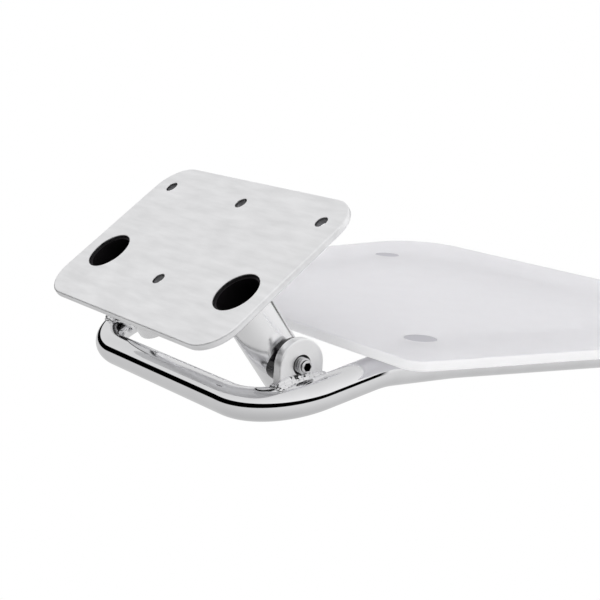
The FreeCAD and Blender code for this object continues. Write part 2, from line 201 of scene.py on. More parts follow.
WELD_BEAD = Finish("weld_bead", (0.74, 0.74, 0.75), roughness=0.12)
# Painted shade: a dark colour for the walls of holes, where shade falls.
HOLE_SHADE = Finish("painted_hole_shade", (0.16, 0.16, 0.165), roughness=0.35)
# Painted shade: a near-black colour for the screw's thread and socket.
THREAD_SHADE = Finish("painted_thread_shade", (0.012, 0.012, 0.013), roughness=0.35)
# Painted shade: a near-black colour for the inside of the arms' bores, where no light gets in.
BORE_SHADE = Finish("painted_bore_shade", (0.06, 0.055, 0.06), roughness=0.5)
CLEAR_NYLON = Finish("clear_nylon", (0.80, 0.80, 0.81), metallic=0.0, roughness=0.3,
                     transmission=0.6)
# Painted light: a faint emission brightens the whole panel.
FROSTED_PANEL = Finish("frosted_panel", (0.91, 0.905, 0.93), metallic=0.0, roughness=0.5,
                       roughness_spread=0.03, tone_spread=0.01, transmission=0.5,
                       painted_glow=0.012)


# Painted light: a lighter colour and emission for the panel's rim faces.
PAINTED_RIM_LIGHT = Finish("painted_rim_light", (0.96, 0.96, 0.965), metallic=0.0, roughness=0.3,
                   tone_spread=0.01, transmission=0.25, painted_glow=0.09)

# pivot_boss sits deep in the arm's bore and gets the painted bore shade.
CAD_FINISHES = {
    "pivot_bush": BLACK_BUSH, "pivot_boss": BORE_SHADE, "threaded_inserts": SCREW_STEEL,
    "panel_sleeves": CLEAR_NYLON, "saddle_washers": CLEAR_NYLON,
}


def dress_cad_nodes(nodes: dict[str, bpy.types.Object]) -> None:
    """Gives the CAD nodes that still show their finish.

    Args:
        nodes: The frame's nodes by name.
    """
    for name, node in nodes.items():
        finish = next((f for key, f in CAD_FINISHES.items() if name.startswith(key)),
                      POLISHED_TUBE)
        node.data.materials.clear()
        node.data.materials.append(finish.material())


# ---- mesh helpers ----
class Shape:
    """A mesh being modelled, in millimetres, with the few operations that the pieces share."""

    def __init__(self) -> None:
        """Starts an empty mesh."""
        self.bm = bmesh.new()

    def outline(self, points: list[tuple[float, float]], rounds: dict[int, float],
                steps: int = 20) -> Shape:
        """Fills a flat outline in the XY plane and rounds some of its corners.

        Args:
            points: Corners in order.
            rounds: How far each rounded corner is cut back along its sides, by index.
            steps: Segments in each rounded corner.

        Returns:
            The shape itself.
        """
        verts = [self.bm.verts.new((x, y, 0)) for x, y in points]
        self.bm.faces.new(verts)
        for index, reach in rounds.items():
            bmesh.ops.bevel(self.bm, geom=[verts[index]], offset=reach, segments=steps,
                            profile=0.5, affect="VERTICES", material=-1, clamp_overlap=False)
        bmesh.ops.remove_doubles(self.bm, verts=self.bm.verts, dist=1e-4)
        return self

    def thicken(self, height: float, edge_round: float, steps: int = 4) -> Shape:
        """Raises a flat outline to a slab along Z and rounds its two rims.

        Args:
            height: Slab thickness.
            edge_round: Radius of the rims.
            steps: Segments across each rim.

        Returns:
            The shape itself.
        """
        raised = bmesh.ops.extrude_face_region(self.bm, geom=self.bm.faces[:])
        moved = [v for v in raised["geom"] if isinstance(v, bmesh.types.BMVert)]
        bmesh.ops.translate(self.bm, vec=(0, 0, height), verts=moved)
        self.face_outwards()
        rims = [e for e in self.bm.edges if abs(e.verts[0].co.z - e.verts[1].co.z) < 1e-6]
        bmesh.ops.bevel(self.bm, geom=rims, offset=edge_round, segments=steps, profile=0.5,
                        affect="EDGES", material=-1)
        return self

    def lathe(self, profile: list[tuple[float, float]], along: Vector, origin: Vector,
              steps: int = RING_STEPS) -> Shape:
        """Turns a closed profile of (distance along, radius) about an axis.

        Args:
            profile: Corners of the half section, in order.
            along: Axis direction.
            origin: A point on the axis, where the distances start.
            steps: Segments round the axis.

        Returns:
            The shape itself.
        """
        out = along.orthogonal().normalized()
        verts = [self.bm.verts.new(origin + along * distance + out * radius)
                 for distance, radius in profile]
        edges = [self.bm.edges.new((a, b)) for a, b in zip(verts, verts[1:] + verts[:1])
                 if (a.co - b.co).length > 1e-6]
        edges = [e for e in edges if not all(self.on_axis(v.co, origin, along)
                                             for v in e.verts)]
        bmesh.ops.spin(self.bm, geom=verts + edges, cent=origin, axis=along,
                       angle=math.tau, steps=steps, use_merge=True, use_duplicate=False)
        loose = [e for e in self.bm.edges if not e.link_faces]
        bmesh.ops.delete(self.bm, geom=loose, context="EDGES")
        return self.merge()

    @staticmethod
    def on_axis(point: Vector, origin: Vector, along: Vector) -> bool:
        """Whether a point lies on an axis."""
        return (point - origin).cross(along).length < 1e-6

    def tube(self, path: BentPath, radius: float, wall: float) -> Shape:
        """Round tube along a bent path: straight extrusions and spun bends.

        Args:
            path: The centre line.
            radius: Outer radius.
            wall: Wall thickness, inwards.

        Returns:
            The shape itself.
        """
        legs = path.legs()
        start, ahead = legs[0].start, (legs[0].end - legs[0].start).normalized()
        facing = Matrix.Translation(start) @ ahead.to_track_quat("Z", "Y").to_matrix().to_4x4()
        bmesh.ops.create_circle(self.bm, cap_ends=False, segments=RING_STEPS, radius=radius,
                                matrix=facing)
        front = self.bm.edges[:]
        for leg in legs:
            if leg.centre is None:
                made = bmesh.ops.extrude_edge_only(self.bm, edges=front)["geom"]
                moved = [v for v in made if isinstance(v, bmesh.types.BMVert)]
                bmesh.ops.translate(self.bm, vec=leg.end - leg.start, verts=moved)
            else:
                verts = list({v for e in front for v in e.verts})
                made = bmesh.ops.spin(self.bm, geom=verts + front, cent=leg.centre,
                                      axis=leg.axis, angle=leg.angle,
                                      steps=max(4, round(leg.angle / BEND_STEP)),
                                      use_duplicate=False)["geom_last"]
            front = [e for e in made if isinstance(e, bmesh.types.BMEdge)]
        self.merge()
        bmesh.ops.recalc_face_normals(self.bm, faces=self.bm.faces)
        probe = min(self.bm.faces, key=lambda f: (f.calc_center_median() - start).length)
        outward = (probe.calc_center_median() - start)
        outward -= ahead * outward.dot(ahead)
        if probe.normal.dot(outward) < 0:
            bmesh.ops.reverse_faces(self.bm, faces=self.bm.faces)
        if wall:
            bmesh.ops.solidify(self.bm, geom=self.bm.faces[:], thickness=wall)
        else:
            bmesh.ops.holes_fill(self.bm, edges=self.bm.edges)
        return self

    def spheres(self, centres: list[Vector], radii: list[float]) -> Shape:
        """Small balls at each centre, the raw pools of a weld."""
        for centre, radius in zip(centres, radii):
            bmesh.ops.create_icosphere(self.bm, subdivisions=2, radius=radius,
                                       matrix=Matrix.Translation(centre))
        return self

    def copy(self) -> Shape:
        """A second shape with the same mesh."""
        twin = Shape()
        twin.bm.free()
        twin.bm = self.bm.copy()
        return twin

    def merge(self) -> Shape:
        """Joins points that coincide."""
        bmesh.ops.remove_doubles(self.bm, verts=self.bm.verts, dist=1e-4)
        return self

    def face_outwards(self) -> Shape:
        """Turns every face of a closed shape outwards."""
        bmesh.ops.recalc_face_normals(self.bm, faces=self.bm.faces)
        return self

    def move(self, matrix: Matrix) -> Shape:
        """Places the shape by a matrix."""
        self.bm.transform(matrix)
        return self

    def mirrored(self, side: Side) -> Shape:
        """Mirrors a shape built for the right to its side."""
        return self.move(Matrix.Diagonal((side.value, 1, 1, 1))).face_outwards()

    def as_object(self, name: str) -> bpy.types.Object:
        """Leaves the mesh in an object of that name."""
        mesh = bpy.data.meshes.new(name)
        self.bm.to_mesh(mesh)
        self.bm.free()
        made = bpy.data.objects.new(name, mesh)
        bpy.context.scene.collection.objects.link(made)
        return made

    def with_modifier(self, kind: str, **settings: object) -> Shape:
        """Applies one modifier to the mesh.

        Args:
            kind: The modifier's type.
            **settings: Its values by name.

        Returns:
            The shape itself.
        """
        holder = self.as_object("being_shaped")
        modifier = holder.modifiers.new("shape", kind)
        for key, value in settings.items():
            setattr(modifier, key, value)
        graph = bpy.context.evaluated_depsgraph_get()
        mesh = bpy.data.meshes.new_from_object(holder.evaluated_get(graph))
        self.bm = bmesh.new()
        self.bm.from_mesh(mesh)
        bpy.data.objects.remove(holder)
        bpy.data.meshes.remove(mesh)
        return self

    def cut(self, tool: Shape) -> Shape:
        """Takes another closed shape away from this one."""
        tool.face_outwards()
        cutter = tool.as_object("cutter")
        self.with_modifier("BOOLEAN", operation="DIFFERENCE", object=cutter, solver="EXACT")
        bpy.data.objects.remove(cutter)
        return self

    def ease(self, edges: list[bmesh.types.BMEdge], offset: float, steps: int = 2) -> Shape:
        """Rounds chosen edges."""
        bmesh.ops.bevel(self.bm, geom=edges, offset=offset, segments=steps, profile=0.5,
                        affect="EDGES", material=-1)
        return self

    def rim_edges(self, centre: Vector, along: Vector, radius: float) -> list[bmesh.types.BMEdge]:
        """Edges of the circles of one radius about an axis.

        Args:
            centre: A point on the axis.
            along: Axis direction.
            radius: Circle radius.

        Returns:
            The edges found.
        """
        def height_on_circle(point: Vector) -> float | None:
            offset = point - centre
            height = offset.dot(along)
            across = (offset - along * height).length
            return height if abs(across - radius) < ON_CIRCLE else None

        found = []
        for edge in self.bm.edges:
            ends = [height_on_circle(v.co) for v in edge.verts]
            if None not in ends and abs(ends[0] - ends[1]) < 1e-3:
                found.append(edge)
        return found


@dataclass(frozen=True)
class Leg:
    """One straight run or one bend of a path.

    Attributes:
        start: First point.
        end: Last point.
        centre: Centre of the bend, or None on a straight run.
        axis: Axis that the bend turns about.
        angle: How far it turns, in radians.
    """

    start: Vector
    end: Vector
    centre: Vector | None = None
    axis: Vector | None = None
    angle: float = 0.0


@dataclass(frozen=True)
class BentPath:
    """Straight runs between points, joined by tangent arcs.

    Attributes:
        points: The runs' corners.
        radii: Bend radius at each inner corner.
    """

    points: tuple[Vector, ...]
    radii: tuple[float, ...]

    def legs(self) -> list[Leg]:
        """The runs and bends in order."""
        legs = []
        last = self.points[0]
        for before, corner, after, radius in zip(self.points, self.points[1:], self.points[2:],
                                                 self.radii):
            back = (before - corner).normalized()
            ahead = (after - corner).normalized()
            angle = (-back).angle(ahead)
            reach = radius * math.tan(angle / 2)
            start, end = corner + back * reach, corner + ahead * reach
            centre = corner + (back + ahead).normalized() * math.hypot(reach, radius)
            axis = (start - centre).cross(end - centre).normalized()
            legs += [Leg(last, start), Leg(start, end, centre, axis, angle)]
            last = end
        return legs + [Leg(last, self.points[-1])]


def show(shape: Shape, name: str, place: Matrix, body: Body, finish: Finish,
         nodes: tuple[str, ...] = ()) -> bpy.types.Object:
    """Places a finished shape, dresses it and lets it ride on its body.

    Args:
        shape: The shape, in millimetres.
        name: Name of the piece.
        place: Matrix from the shape's frame to the row frame.
        body: The body that it rides on.
        finish: Its finish.
        nodes: The CAD nodes that it stands for.

    Returns:
        The piece.
    """
    piece = shape.move(place).face_outwards().as_object(name)
    piece.data.shade_smooth()
    piece.data.set_sharp_from_angle(angle=SHARP_ANGLE)
    for face in piece.data.polygons:
        face.use_smooth = len(face.vertices) < FLAT_CORNERS
    piece.data.materials.append(finish.material())
    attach(piece, body.value)
    if nodes:
        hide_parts(*nodes)
    log.info("%-22s %6d faces on %s", name, len(piece.data.polygons), body.value)
    return piece


# ---- wall side ----
@dataclass
class WallBracket:
    """Wall plate with its two arms and their welds, in millimetres from the plate's back."""

    width: float = 250.0
    above: float = 106.0
    below: float = 54.0
    thickness: float = 6.0
    corner: float = 28.0
    edge_round: float = 1.6
    rim_round: float = 0.6
    screw_hole: float = 5.25
    top_row: float = 81.0
    hole_spacing: float = 103.0
    lower_hole: float = -10.5
    arm_x: float = 92.0
    arm_radius: float = 19.0
    arm_wall: float = 1.5
    arm_start: float = 3.0
    arm_end: float = 84.0
    cap: float = 4.0
    cap_round: float = 2.5
    weld_leg: float = 3.6
    weld_ripples: int = 44

    def hole_places(self) -> list[tuple[Vector, float]]:
        """Centre and radius of every hole in the plate."""
        row = [(Vector((k * self.hole_spacing, 0, self.top_row)), self.screw_hole)
               for k in (-1, 0, 1)]
        arms = [(Vector((side.value * self.arm_x, 0, 0)), self.arm_radius + 0.05)
                for side in Side]
        return row + [(Vector((0, 0, self.lower_hole)), self.screw_hole)] + arms

    def plate(self) -> Shape:
        """Rounded plate with eased edges and six holes."""
        half = self.width / 2
        box = [(-half, -self.below), (half, -self.below), (half, self.above),
               (-half, self.above)]
        stand = Matrix.Translation((0, self.thickness, 0)) @ Matrix.Rotation(
            math.radians(90), 4, "X")
        plate = Shape().outline(box, dict.fromkeys(range(4), self.corner))
        plate.thicken(self.thickness, self.edge_round).move(stand)
        across = Vector((0, 1, 0))
        for centre, radius in self.hole_places():
            drill = Shape().lathe([(-1, 0), (-1, radius), (self.thickness + 1, radius),
                                   (self.thickness + 1, 0)], across, centre)
            plate.cut(drill)
        for centre, radius in self.hole_places():
            plate.ease(plate.rim_edges(centre, across, radius), self.rim_round)
        return plate

    def arm(self) -> Shape:
        """Right arm: a tube with a closed, rounded end."""
        bore = self.arm_radius - self.arm_wall
        turn = [math.radians(15 * k) for k in range(7)]
        nose = [(self.arm_end - self.cap_round * (1 - math.sin(a)),
                 self.arm_radius - self.cap_round * (1 - math.cos(a))) for a in turn]
        inside = self.arm_end - self.cap
        profile = [(self.arm_start, bore), (self.arm_start, self.arm_radius), *nose,
                   (self.arm_end, 0), (inside, 0), (inside, bore)]
        return Shape().lathe(profile, Vector((0, 1, 0)), Vector((self.arm_x, 0, 0)), 96)

    def weld(self) -> Shape:
        """Rippled fillet weld round the right arm on the plate's front."""
        leg, foot = self.weld_leg, self.arm_radius - 0.1
        profile = [(self.thickness - 0.2, foot), (self.thickness - 0.2, foot + leg),
                   (self.thickness + leg * 0.45, foot + leg * 0.62),
                   (self.thickness + leg, foot)]
        centre = Vector((self.arm_x, 0, 0))
        bead = Shape().lathe(profile, Vector((0, 1, 0)), centre, self.weld_ripples * 6)
        for vert in bead.bm.verts:
            out = Vector((vert.co.x - self.arm_x, 0, vert.co.z))
            swell = max(0.0, out.length - foot) * 0.11
            ripple = math.sin(math.atan2(out.z, out.x) * self.weld_ripples)
            vert.co += out.normalized() * swell * ripple
        return bead

    def build(self) -> None:
        """Makes the plate, the arms and their welds."""
        plate = show(self.plate(), "plate", ON_WALL, Body.WALL, SATIN_PLATE,
                     ("wall_plate",))
        self.paint_hole_shade(plate)
        for side in Side:
            arm = show(self.arm().mirrored(side), f"arm_{side.word}", ON_WALL, Body.WALL,
                       POLISHED_ARM,
                       (f"arm_tube_{side.word}", f"arm_end_cap_{side.word}"))
            self.paint_bore_shade(arm, side)
            show(self.weld().mirrored(side), f"arm_bead_{side.word}", ON_WALL, Body.WALL,
                 SCREW_STEEL, (f"arm_weld_{side.word}",))

    def paint_hole_shade(self, plate: bpy.types.Object) -> None:
        """Paints shade on the walls of the plate's holes, as a dark colour."""
        # Painted shade: the hole walls get the dark colour.
        plate.data.materials.append(HOLE_SHADE.material())
        for face in plate.data.polygons:
            if abs(face.normal.y) > 0.1:
                continue
            for centre, radius in self.hole_places():
                out = face.center / MM - centre
                out.y = 0
                if out.length < radius + 0.1:
                    face.material_index = 1

    def paint_bore_shade(self, arm: bpy.types.Object, side: Side) -> None:
        """Paints shade on the inside of an arm, as a dark colour."""
        # Painted shade: the bore's faces get the near-black colour.
        arm.data.materials.append(BORE_SHADE.material())
        limit = (self.arm_radius - self.arm_wall / 2) * MM
        for face in arm.data.polygons:
            out = Vector((face.center.x - side.value * self.arm_x * MM, 0, face.center.z))
            if out.length < limit and face.center.y < (self.arm_end - self.cap / 2) * MM:
                face.material_index = 1


# ---- hinge ----
@dataclass
class Hinge:
    """Lugs with their welds and the pivot screws, from the hinge axis with the seat level."""

    lug_x: float = 115.6
    lug_out_x: float = 123.6
    lug_radius: float = 19.3
    lug_round: float = 0.9
    foot_rear: float = -28.3
    foot_front: float = -16.5
    hole: float = 6.0
    sink: float = 7.8
    root: float = 4.7
    crest: float = 5.9
    pitch: float = 2.5
    journal_start: float = 98.2
    thread_start: float = 114.6
    tip: float = 130.1
    chamfer: float = 0.7
    socket_flats: float = 6.0
    socket_depth: float = 5.0
    socket_turn: float = math.radians(2.5)
    bead: float = 2.3
    bead_spacing: float = 1.9
    # rows of the fillet: out from the lug's face, and up from the tube
    fillet: tuple[tuple[float, float], ...] = ((2.6, -0.4), (1.5, 1.6), (0.3, 3.6))
    bead_voxel: float = 0.45
    # half widths of the ridge's foot and crest, as shares of the pitch
    ridge_foot: float = 0.24
    ridge_crest: float = 0.07
    turn_steps: int = 40

    def lug(self, tube: Shape) -> Shape:
        """Round-topped lug, coped to the tube below it, with a countersunk hole."""
        r = self.lug_radius
        top = r - 0.001
        flat = [(-r, self.foot_rear), (r, self.foot_front), (r, r), (-r, r)]
        stand = Matrix(((0, 0, 1, self.lug_x), (1, 0, 0, 0), (0, 1, 0, 0), (0, 0, 0, 1)))
        lug = Shape().outline(flat, {2: top, 3: top}, 24)
        lug.thicken(self.lug_out_x - self.lug_x, self.lug_round, 3).move(stand)
        drill = Shape().lathe([(-1, 0), (-1, self.hole), (8 - (self.sink - self.hole), self.hole),
                               (8, self.sink), (9, self.sink), (9, 0)], Vector((1, 0, 0)),
                              Vector((self.lug_x, 0, 0)))
        lug.cut(drill).cut(tube)
        return self.upper_part(lug)

    @staticmethod
    def upper_part(shape: Shape) -> Shape:
        """Keeps the connected part that reaches highest."""
        start = max(shape.bm.verts, key=lambda v: v.co.z)
        kept, front = {start}, [start]
        while front:
            vert = front.pop()
            for edge in vert.link_edges:
                other = edge.other_vert(vert)
                if other not in kept:
                    kept.add(other)
                    front.append(other)
        lost = [v for v in shape.bm.verts if v not in kept]
        bmesh.ops.delete(shape.bm, geom=lost, context="VERTS")
        return shape

    def weld(self, tube: Shape) -> Shape:
        """Lumpy fillet up the lug's outer face and a bead round the rest of its foot."""
        surface = BVHTree.FromBMesh(tube.bm)
        r, inner, outer = self.lug_radius, self.lug_x, self.lug_out_x
        rows = [(Vector((outer + out, r, up)), Vector((outer + out, -r, up)))
                for out, up in self.fillet]
        rows += [(Vector((outer, -r, 0)), Vector((inner, -r, 0))),
                 (Vector((inner, -r, 0)), Vector((inner, r, 0))),
                 (Vector((inner, r, 0)), Vector((outer, r, 0)))]
        pools, sizes = [], []
        for start, end in rows:
            count = round((end - start).length / self.bead_spacing)
            for k in range(count + 1):
                spot = start.lerp(end, k / count)
                hit = surface.ray_cast(Vector((spot.x, spot.y, r)), Vector((0, 0, -1)))[0]
                if hit is None or hit.z < -r * 1.6:
                    continue
                wave = math.sin(len(pools) * 2.4) + 0.6 * math.sin(len(pools) * 1.1)
                pools.append(hit + Vector((0, 0, start.z + 0.2 + 0.15 * wave)))
                sizes.append(self.bead * (1 + 0.10 * wave))
        bead = Shape().spheres(pools, sizes)
        bead.with_modifier("REMESH", mode="VOXEL", voxel_size=self.bead_voxel)
        return bead.with_modifier("SMOOTH", factor=0.5, iterations=4)

    def screw(self) -> Shape:
        """Set screw with a chamfered, threaded end, a hexagon socket and a plain journal."""
        along = Vector((1, 0, 0))
        core = Shape().lathe(
            [(self.journal_start, 0), (self.journal_start, self.root),
             (self.tip - self.chamfer, self.root), (self.tip, self.root - self.chamfer),
             (self.tip, 0)], along, Vector((0, 0, 0)))
        socket = Shape()
        bmesh.ops.create_cone(socket.bm, cap_ends=True, segments=6, depth=self.socket_depth * 2,
                              radius1=self.socket_flats / math.sqrt(3),
                              radius2=self.socket_flats / math.sqrt(3),
                              matrix=Matrix.Translation((self.tip, 0, 0))
                              @ Matrix.Rotation(self.socket_turn, 4, "X")
                              @ Matrix.Rotation(math.radians(90), 4, "Y"))
        return core.cut(socket)

    def thread(self) -> Shape:
        """Helical ridge of the screw's thread."""
        turns = (self.tip - self.chamfer - self.thread_start) / self.pitch - 0.5
        steps = round(turns * self.turn_steps)
        ridge = Shape()
        low, foot, crest = self.root - 0.15, self.ridge_foot, self.ridge_crest
        section = [(-foot, low), (-crest, self.crest), (crest, self.crest), (foot, low)]
        verts = [ridge.bm.verts.new((self.thread_start + x * self.pitch, 0, r))
                 for x, r in section]
        face = ridge.bm.faces.new(verts)
        bmesh.ops.spin(ridge.bm, geom=[*verts, *face.edges, face], cent=(0, 0, 0),
                       axis=(1, 0, 0), dvec=(self.pitch * turns / steps, 0, 0),
                       angle=math.tau * turns, steps=steps, use_duplicate=False)
        return ridge.face_outwards()

    def paint_sink_shade(self, lug: bpy.types.Object) -> None:
        """Paints shade on the walls of the lug's countersunk hole, as a dark colour."""
        # Painted shade: the countersink walls get the dark colour.
        lug.data.materials.append(HOLE_SHADE.material())
        for face in lug.data.polygons:
            radius = math.hypot(face.center.y - HINGE_OUT * MM, face.center.z)
            if radius < self.sink * MM and abs(face.normal.x) < 0.95:
                face.material_index = 1

    def paint_thread_shade(self, screw: bpy.types.Object) -> None:
        """Paints shade on the screw's core and socket, leaving only its chamfered end bright."""
        # Painted shade: every face but the chamfered end gets the near-black colour.
        screw.data.materials.append(THREAD_SHADE.material())
        bright_from = (self.tip - self.chamfer) * MM
        socket = self.socket_flats / math.sqrt(3) * MM
        for face in screw.data.polygons:
            radius = math.hypot(face.center.y - HINGE_OUT * MM, face.center.z)
            if abs(face.center.x) < bright_from or radius < socket * 0.98:
                face.material_index = 1

    def build(self, tube: Shape) -> None:
        """Makes both sides' lugs, beads and screws.

        Args:
            tube: The bow that the lugs stand on, as a solid bar, seat level.
        """
        for side in Side:
            word = side.word
            lug = show(self.lug(tube.copy()).mirrored(side), f"lug_{word}", ON_SEAT, Body.SEAT,
                       SATIN_LUG, (f"hinge_lug_{word}",))
            self.paint_sink_shade(lug)
            show(self.weld(tube).mirrored(side), f"lug_bead_{word}", ON_SEAT, Body.SEAT,
                 WELD_BEAD)
            screw = show(self.screw().mirrored(side), f"screw_{word}", ON_SEAT, Body.SEAT,
                         SCREW_STEEL, (f"pivot_screw_{word}",))
            self.paint_thread_shade(screw)
            show(self.thread().mirrored(side), f"screw_thread_{word}", ON_SEAT, Body.SEAT,
                 SCREW_STEEL)


# ---- seat ----
@dataclass
class SeatFrame:
    """The bent tube frame, from the hinge axis with the seat level."""

    radius: float = 12.5
    wall: float = 1.5
    level: float = -4.8
    rear: Vector = field(default_factory=lambda: Vector((127.0, -32.6, -32.3)))
    rise: Vector = field(default_factory=lambda: Vector((142.0, 58.0, -4.8)))
    knee: Vector = field(default_factory=lambda: Vector((144.0, 129.0, -4.8)))
    flare: Vector = field(default_factory=lambda: Vector((174.5, 315.0, -4.8)))
    front: Vector = field(default_factory=lambda: Vector((176.0, 392.0, -4.8)))
    rear_bend: float = 55.0
    rise_bend: float = 60.0
    knee_bend: float = 100.0
    flare_bend: float = 110.0
    front_bend: float = 58.0
    rear_joint_share: float = 0.35
    front_joint_share: float = 0.5

    @staticmethod
    def other(point: Vector) -> Vector:
        """The same point on the left."""
        return Vector((-point.x, point.y, point.z))

    def rear_path(self) -> BentPath:
        """Rear bar with its two corners and rises."""
        joint = self.rise.lerp(self.knee, self.rear_joint_share)
        half = (self.rear, self.rise, joint)
        points = tuple(self.other(p) for p in reversed(half)) + half
        return BentPath(points, (self.rise_bend, self.rear_bend, self.rear_bend, self.rise_bend))

    def side_path(self) -> BentPath:
        """Right side rail between the two bows."""
        return BentPath((self.rise.lerp(self.knee, self.rear_joint_share), self.knee,
                         self.knee.lerp(self.flare, self.front_joint_share)), (self.knee_bend,))

    def front_path(self) -> BentPath:
        """Front bar with its two corners and the ends of the sides."""
        joint = self.knee.lerp(self.flare, self.front_joint_share)
        half = (self.front, self.flare, joint)
        points = tuple(self.other(p) for p in reversed(half)) + half
        return BentPath(points, (self.flare_bend, self.front_bend, self.front_bend,
                                 self.flare_bend))

    def rear_bar(self) -> Shape:
        """The rear bow as a solid bar, for what is fitted to it."""
        return Shape().tube(self.rear_path(), self.radius, 0)

    def build(self) -> None:
        """Makes the four lengths of tube."""
        show(Shape().tube(self.rear_path(), self.radius, self.wall), "rear_bow", ON_SEAT,
             Body.SEAT, POLISHED_TUBE, ("frame_rear_bow",))
        show(Shape().tube(self.front_path(), self.radius, self.wall), "front_bow", ON_SEAT,
             Body.SEAT, POLISHED_TUBE, ("frame_front_bow",))
        for side in Side:
            rail = Shape().tube(self.side_path(), self.radius, self.wall).mirrored(side)
            show(rail, f"side_rail_{side.word}", ON_SEAT, Body.SEAT, POLISHED_TUBE,
                 (f"frame_side_rail_{side.word}",))


@dataclass
class SeatPanel:
    """Frosted panel with flush disc fixings, from the hinge axis with the seat level."""

    bottom: float = 8.3
    thickness: float = 8.0
    rear_half: float = 199.7
    rear: float = 38.0
    hip_half: float = 251.8
    hip: float = 389.5
    front: float = 456.0
    rear_corner: float = 12.9
    hip_reach: float = 8.0
    front_corner: float = 52.0
    edge_round: float = 1.8
    disc: float = 12.5
    disc_depth: float = 3.0
    disc_round: float = 0.35
    shank: float = 4.0
    shank_length: float = 15.0
    sleeve: float = 6.6
    slip: float = 0.1

    def places(self, rail: SeatFrame) -> list[Vector]:
        """Top centre of each fixing, over the middle of the tube.

        Args:
            rail: The frame that carries the panel.

        Returns:
            The four points.
        """
        top = self.bottom + self.thickness
        runs = ((94.5, rail.rise, rail.knee), (335.0, rail.flare, rail.front))
        right = [before.lerp(after, (forward - before.y) / (after.y - before.y))
                 for forward, before, after in runs]
        return [Vector((side.value * p.x, p.y, top)) for p in right for side in Side]

    def panel(self, places: list[Vector]) -> Shape:
        """Slab with rounded corners, eased edges and a stepped hole for each fixing."""
        right = [(self.rear_half, self.rear), (self.hip_half, self.hip),
                 (self.hip_half, self.front)]
        points = right + [(-x, y) for x, y in reversed(right)]
        reaches = [self.rear_corner, self.hip_reach, self.front_corner]
        slab = Shape().outline(points, dict(enumerate(reaches + reaches[::-1])))
        slab.thicken(self.thickness, self.edge_round)
        slab.move(Matrix.Translation((0, 0, self.bottom)))
        seat = self.disc + self.slip
        for place in places:
            slab.cut(Shape().lathe([(-self.thickness - 1, 0), (-self.thickness - 1, self.sleeve),
                                    (-self.disc_depth, self.sleeve), (-self.disc_depth, seat),
                                    (1, seat), (1, 0)], Vector((0, 0, 1)), place))
        return slab

    def fixing(self, place: Vector) -> Shape:
        """Disc head with a fine chamfer on a shank."""
        edge, low = self.disc_round, -self.disc_depth
        return Shape().lathe([(0, 0), (0, self.disc - edge), (-edge, self.disc),
                              (low, self.disc), (low, self.shank),
                              (low - self.shank_length, self.shank),
                              (low - self.shank_length, 0)], Vector((0, 0, 1)), place)

    def build(self, rail: SeatFrame) -> None:
        """Makes the panel and its four fixings.

        Args:
            rail: The frame that carries the panel.
        """
        places = self.places(rail)
        panel = show(self.panel(places), "panel", ON_SEAT, Body.SEAT, FROSTED_PANEL,
                     ("seat_panel",))
        # Painted light: the rim faces get the lighter, glowing colour.
        panel.data.materials.append(PAINTED_RIM_LIGHT.material())
        upwards = ON_SEAT.to_3x3().normalized() @ Vector((0, 0, 1))
        for face in panel.data.polygons:
            face.material_index = int(abs(face.normal.dot(upwards)) < PANEL_TOP_TILT)
        for number, place in enumerate(places, 1):
            show(self.fixing(place), f"fixing_{number}", ON_SEAT, Body.SEAT, DISC_STEEL,
                 ("fixing_discs",))


# ---- studio ----
def in_seat_plane(right: float, forward: float) -> Vector:
    """Direction in the plane of the seat at rest, from its share to the right and forward."""
    return Vector((right, forward * math.cos(REST_ANGLE), forward * math.sin(REST_ANGLE)))


